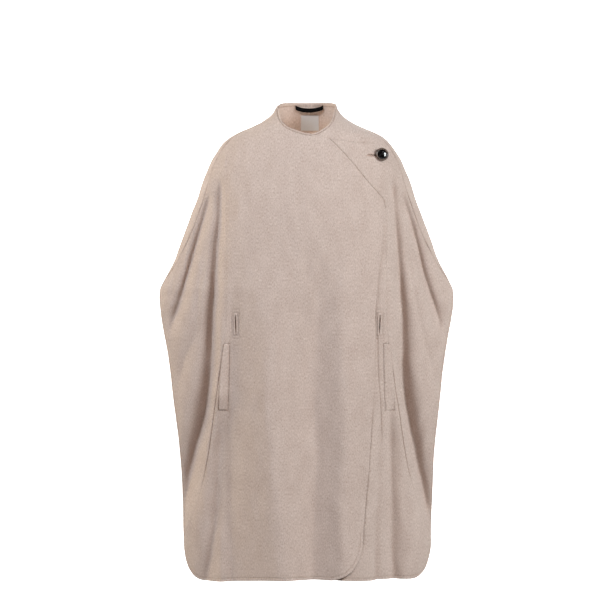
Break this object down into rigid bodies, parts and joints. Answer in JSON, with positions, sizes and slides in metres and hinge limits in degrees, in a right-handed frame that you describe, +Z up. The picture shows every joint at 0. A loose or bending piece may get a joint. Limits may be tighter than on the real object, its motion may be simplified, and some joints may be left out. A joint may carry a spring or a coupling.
{
  "type": "wool cape",
  "caption": "Thigh-length wool cape with a raglan shoulder tab, a lapped front, a horn button, princess seams, pocket welts, belt slits and open sides.",
  "frame": {"origin": "where the wearer's shoulders hold the cape: midway between them at the base of the neck", "axes": "+Z up along the height of the cape, +X to the wearer's left, the front faces -Y"},
  "size_m": [0.7224, 0.3023, 1.1549],
  "materials": {
    "wool": "short-napped melange wool coating",
    "horn": "polished dark horn",
    "tape": "black woven tape",
    "satin": "bare grey satin"
  },
  "bodies": {
    "root": {"front_lapped": "wool", "front_under": "wool", "shoulder_tab": "wool", "side_front_right": "wool", "side_front_left": "wool", "back_right": "wool", "back_left": "wool", "pocket_welt_right": "wool", "pocket_welt_left": "wool", "slit_binding_right": "wool", "slit_binding_left": "wool", "button": "horn", "hanging_loop": "tape", "label": "satin"}
  },
  "joints": []
}
